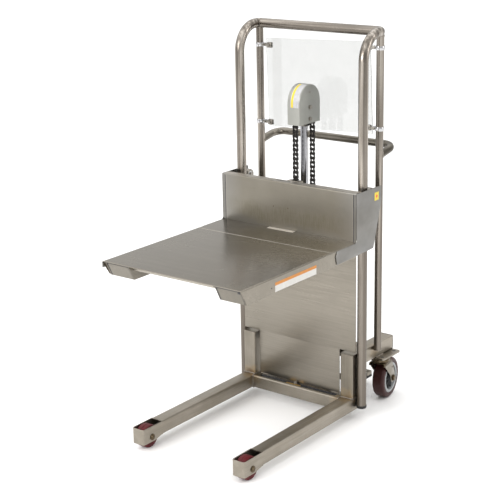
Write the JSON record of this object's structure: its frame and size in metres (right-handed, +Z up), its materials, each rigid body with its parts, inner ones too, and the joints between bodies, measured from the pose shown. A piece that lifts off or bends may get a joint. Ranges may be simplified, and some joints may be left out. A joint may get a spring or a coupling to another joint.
{
  "type": "hydraulic platform lift truck",
  "caption": "Stainless walk-behind lift truck: foot-pumped ram and roller chain raise a flat platform on a twin-tube mast with straddle legs, load wheels and swivel casters.",
  "frame": {"origin": "floor level, at the middle of the machine's width and length", "axes": "+Z up, +Y from the platform towards the operator's handle, +X to the right when facing the mast from the platform"},
  "size_m": [0.5726, 1.015, 1.3687],
  "materials": {
    "stainless": "brushed tube and box section with heat-tinted welds",
    "stainless_sheet": "satin mill-finish folded sheet",
    "chrome": "ground and polished",
    "chain_steel": "dark oiled roller chain",
    "ram_paint": "black enamel",
    "caster_tread": "maroon polyurethane, satin",
    "load_wheel": "red polyurethane, satin",
    "wheel_hub": "grey moulded hub",
    "black_rubber": "moulded",
    "bronze": "cast and tarnished",
    "clear_sheet": "clear polycarbonate",
    "label": "blank two-tone film"
  },
  "bodies": {
    "frame": {"mast_tube_left": "stainless", "mast_tube_right": "stainless", "rear_tube_left": "stainless", "rear_tube_right": "stainless", "leg_left": "stainless", "leg_right": "stainless", "load_axle_left": "stainless", "load_axle_right": "stainless", "mast_post_left": "stainless", "mast_post_right": "stainless", "rear_beam_left": "stainless", "rear_beam_right": "stainless", "caster_plate_left": "stainless_sheet", "caster_plate_right": "stainless_sheet", "mast_top_bar": "stainless", "push_handle": "stainless", "front_panel": "stainless_sheet", "front_cross_member": "stainless", "rear_tie_member": "stainless", "ram_base_plate": "stainless", "ram_foot_block": "bronze", "ram_barrel": "ram_paint", "ram_strap": "stainless", "pump_block": "ram_paint", "release_valve": "ram_paint", "rear_chain_run": "chain_steel", "clear_shield": "clear_sheet", "shield_clamp_left_lower": "stainless", "shield_clamp_left_upper": "stainless", "shield_clamp_right_lower": "stainless", "shield_clamp_right_upper": "stainless"},
    "carriage": {"platform_deck": "stainless_sheet", "deck_channel_left": "stainless_sheet", "deck_channel_right": "stainless_sheet", "side_plate_left": "stainless_sheet", "side_plate_right": "stainless_sheet", "back_plate": "stainless_sheet", "chain_anchor": "stainless", "front_chain_run_1": "chain_steel"},
    "ram_head": {"ram_rod": "chrome", "head_yoke": "stainless", "head_cap": "stainless_sheet", "chain_over_sprocket": "chain_steel"},
    "sprocket": {"chain_sprocket": "chain_steel"},
    "chain_run_2": {"front_chain_run_2": "chain_steel"},
    "chain_run_3": {"front_chain_run_3": "chain_steel"},
    "chain_run_4": {"front_chain_run_4": "chain_steel"},
    "caster_left": {"caster_fork_left": "stainless_sheet"},
    "caster_wheel_left": {"caster_wheel_left": "caster_tread"},
    "load_wheel_left": {"load_wheel_left": "load_wheel"},
    "upper_roller_left": {"upper_roller_left": "chrome"},
    "lower_roller_left": {"lower_roller_left": "chrome"},
    "caster_right": {"caster_fork_right": "stainless_sheet"},
    "caster_wheel_right": {"caster_wheel_right": "caster_tread"},
    "load_wheel_right": {"load_wheel_right": "load_wheel"},
    "upper_roller_right": {"upper_roller_right": "chrome"},
    "lower_roller_right": {"lower_roller_right": "chrome"},
    "pump_pedal": {"pump_pedal_arm": "stainless", "pump_pedal_tread": "black_rubber"},
    "release": {"release_lever": "stainless"}
  },
  "joints": [
    {"name": "carriage_lift", "type": "slide", "parent": "frame", "child": "carriage", "axis": [0, 0, 1], "range_m": [-0.508, 0.254]},
    {"name": "ram_lift", "type": "slide", "parent": "frame", "child": "ram_head", "axis": [0, 0, 1], "range_m": [-0.254, 0.127]},
    {"name": "chain_run_2_travel", "type": "slide", "parent": "frame", "child": "chain_run_2", "axis": [0, 0, 1], "range_m": [-0.4445, 0.22225]},
    {"name": "chain_run_3_travel", "type": "slide", "parent": "frame", "child": "chain_run_3", "axis": [0, 0, 1], "range_m": [-0.381, 0.1905]},
    {"name": "chain_run_4_travel", "type": "slide", "parent": "frame", "child": "chain_run_4", "axis": [0, 0, 1], "range_m": [-0.3175, 0.15875]},
    {"name": "sprocket_spin", "type": "hinge", "parent": "ram_head", "child": "sprocket", "pos_m": [0, 0.226, 1.089], "axis": [1, 0, 0], "range_deg": [-145, 289]},
    {"name": "upper_roller_left_spin", "type": "hinge", "parent": "carriage", "child": "upper_roller_left", "pos_m": [-0.257, 0.2385, 0.816], "axis": [1, 0, 0], "range_deg": [-1535, 770]},
    {"name": "lower_roller_left_spin", "type": "hinge", "parent": "carriage", "child": "lower_roller_left", "pos_m": [-0.257, 0.1665, 0.644], "axis": [1, 0, 0], "range_deg": [-770, 1535]},
    {"name": "upper_roller_right_spin", "type": "hinge", "parent": "carriage", "child": "upper_roller_right", "pos_m": [0.257, 0.2385, 0.816], "axis": [1, 0, 0], "range_deg": [-1535, 770]},
    {"name": "lower_roller_right_spin", "type": "hinge", "parent": "carriage", "child": "lower_roller_right", "pos_m": [0.257, 0.1665, 0.644], "axis": [1, 0, 0], "range_deg": [-770, 1535]},
    {"name": "caster_swivel_left", "type": "hinge", "parent": "frame", "child": "caster_left", "pos_m": [-0.222, 0.3825, 0.165], "axis": [0, 0, 1], "continuous": true},
    {"name": "caster_wheel_spin_left", "type": "hinge", "parent": "caster_left", "child": "caster_wheel_left", "pos_m": [-0.21449, 0.42991, 0.075], "axis": [0.9877, -0.1564, 0], "continuous": true},
    {"name": "load_wheel_spin_left", "type": "hinge", "parent": "frame", "child": "load_wheel_left", "pos_m": [-0.2134, -0.409, 0.04], "axis": [1, 0, 0], "continuous": true},
    {"name": "caster_swivel_right", "type": "hinge", "parent": "frame", "child": "caster_right", "pos_m": [0.222, 0.3825, 0.165], "axis": [0, 0, 1], "continuous": true},
    {"name": "caster_wheel_spin_right", "type": "hinge", "parent": "caster_right", "child": "caster_wheel_right", "pos_m": [0.21449, 0.42991, 0.075], "axis": [0.9877, 0.1564, 0], "continuous": true},
    {"name": "load_wheel_spin_right", "type": "hinge", "parent": "frame", "child": "load_wheel_right", "pos_m": [0.2134, -0.409, 0.04], "axis": [1, 0, 0], "continuous": true},
    {"name": "pump_pedal_hinge", "type": "hinge", "parent": "frame", "child": "pump_pedal", "pos_m": [0.09, 0.2465, 0.12], "axis": [1, 0, 0], "range_deg": [-3, 24]},
    {"name": "release_lever_hinge", "type": "hinge", "parent": "frame", "child": "release", "pos_m": [-0.081, 0.2325, 0.128], "axis": [1, 0, 0], "range_deg": [-15, 0], "stiffness_Nm_per_rad": 1.2, "springref_deg": 20.05}
  ],
  "couplings": [
    {"joint": "ram_lift", "follows": "carriage_lift", "ratio": 0.5},
    {"joint": "chain_run_2_travel", "follows": "carriage_lift", "ratio": 0.875},
    {"joint": "chain_run_3_travel", "follows": "carriage_lift", "ratio": 0.75},
    {"joint": "chain_run_4_travel", "follows": "carriage_lift", "ratio": 0.625},
    {"joint": "sprocket_spin", "follows": "carriage_lift", "rad_per_m": -9.8948},
    {"joint": "upper_roller_left_spin", "follows": "carriage_lift", "rad_per_m": 52.632},
    {"joint": "lower_roller_left_spin", "follows": "carriage_lift", "rad_per_m": -52.632},
    {"joint": "upper_roller_right_spin", "follows": "carriage_lift", "rad_per_m": 52.632},
    {"joint": "lower_roller_right_spin", "follows": "carriage_lift", "rad_per_m": -52.632}
  ]
}
